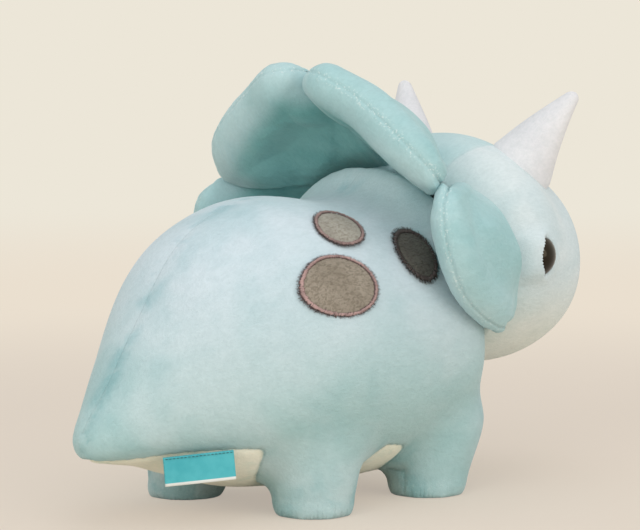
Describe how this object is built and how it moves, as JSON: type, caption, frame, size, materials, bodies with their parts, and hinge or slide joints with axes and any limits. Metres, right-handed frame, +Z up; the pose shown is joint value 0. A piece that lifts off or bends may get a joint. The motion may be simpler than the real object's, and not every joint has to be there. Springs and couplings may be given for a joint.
{
  "type": "stuffed dinosaur",
  "caption": "Stuffed three-horned dinosaur in pale aqua plush, standing on stub legs, with a lobed neck frill, white horns, dark eyes and sewn-on spots.",
  "frame": {"origin": "on the ground, midway between the tip of the nose and the tip of the tail", "axes": "faces -Y with its tail at +Y, its right side at -X, +Z up"},
  "size_m": [0.1986, 0.354, 0.2274],
  "materials": {
    "aqua_plush": "short brushed pile",
    "cream_plush": "short brushed pile",
    "white_plush": "short brushed pile",
    "fibre_filling": "loose polyester fibre",
    "spot_fabric": "napped felt",
    "satin_thread": "dense satin stitch",
    "label_ribbon": "woven ribbon",
    "eye_plastic": "polished",
    "washer_plastic": "moulded"
  },
  "bodies": {
    "torso": {"side_left": "aqua_plush", "side_right": "aqua_plush", "belly_panel": "cream_plush", "body_fill": "fibre_filling", "leg_front_left": "aqua_plush", "leg_front_right": "aqua_plush", "leg_rear_left": "aqua_plush", "leg_rear_right": "aqua_plush", "sole_front_left": "cream_plush", "sole_front_right": "cream_plush", "sole_rear_left": "cream_plush", "sole_rear_right": "cream_plush", "spot_large_left": "spot_fabric", "spot_large_right": "spot_fabric", "spot_small_left": "spot_fabric", "spot_small_right": "spot_fabric", "spot_shoulder_left": "spot_fabric", "spot_shoulder_right": "spot_fabric", "stitch_large_left": "satin_thread", "stitch_large_right": "satin_thread", "stitch_small_left": "satin_thread", "stitch_small_right": "satin_thread", "stitch_shoulder_left": "satin_thread", "stitch_shoulder_right": "satin_thread"},
    "neck": {"neck_fill": "fibre_filling"},
    "head": {"head_cover": "aqua_plush", "head_fill": "fibre_filling", "brow_horn_left": "white_plush", "brow_horn_right": "white_plush", "nose_horn": "white_plush", "eye_left": "eye_plastic", "eye_right": "eye_plastic", "washer_left": "washer_plastic", "washer_right": "washer_plastic"},
    "frill_upper_left": {"frill_upper_left": "aqua_plush"},
    "frill_upper_right": {"frill_upper_right": "aqua_plush"},
    "frill_lower_left": {"frill_lower_left": "aqua_plush"},
    "frill_lower_right": {"frill_lower_right": "aqua_plush"},
    "label": {"label": "label_ribbon"}
  },
  "joints": [
    {"name": "neck_nod", "type": "hinge", "parent": "torso", "child": "neck", "pos_m": [0, -0.066, 0.115], "axis": [1, 0, 0], "range_deg": [-5, 3], "stiffness_Nm_per_rad": 3},
    {"name": "neck_turn", "type": "hinge", "parent": "neck", "child": "head", "pos_m": [0, -0.066, 0.115], "axis": [0, 0.2419, 0.9703], "range_deg": [-3, 3], "stiffness_Nm_per_rad": 3},
    {"name": "frill_upper_left_flap", "type": "hinge", "parent": "head", "child": "frill_upper_left", "pos_m": [0.01765, -0.05804, 0.1695], "axis": [0.9674, -0.0331, -0.251], "range_deg": [-2, 12], "stiffness_Nm_per_rad": 0.15},
    {"name": "frill_upper_right_flap", "type": "hinge", "parent": "head", "child": "frill_upper_right", "pos_m": [-0.01765, -0.05804, 0.1695], "axis": [0.9674, 0.0331, 0.251], "range_deg": [-2, 12], "stiffness_Nm_per_rad": 0.15},
    {"name": "frill_lower_left_flap", "type": "hinge", "parent": "head", "child": "frill_lower_left", "pos_m": [0.05522, -0.06721, 0.12555], "axis": [0.2056, -0.2385, -0.9491], "range_deg": [-1, 10], "stiffness_Nm_per_rad": 0.15},
    {"name": "frill_lower_right_flap", "type": "hinge", "parent": "head", "child": "frill_lower_right", "pos_m": [-0.05522, -0.06721, 0.12555], "axis": [0.2056, 0.2385, 0.9491], "range_deg": [-1, 10], "stiffness_Nm_per_rad": 0.15},
    {"name": "label_flap", "type": "hinge", "parent": "torso", "child": "label", "pos_m": [-0.03399, 0.12936, 0.03892], "axis": [0.5868, 0.8056, -0.0811], "range_deg": [-3, 75], "stiffness_Nm_per_rad": 0.0003}
  ]
}
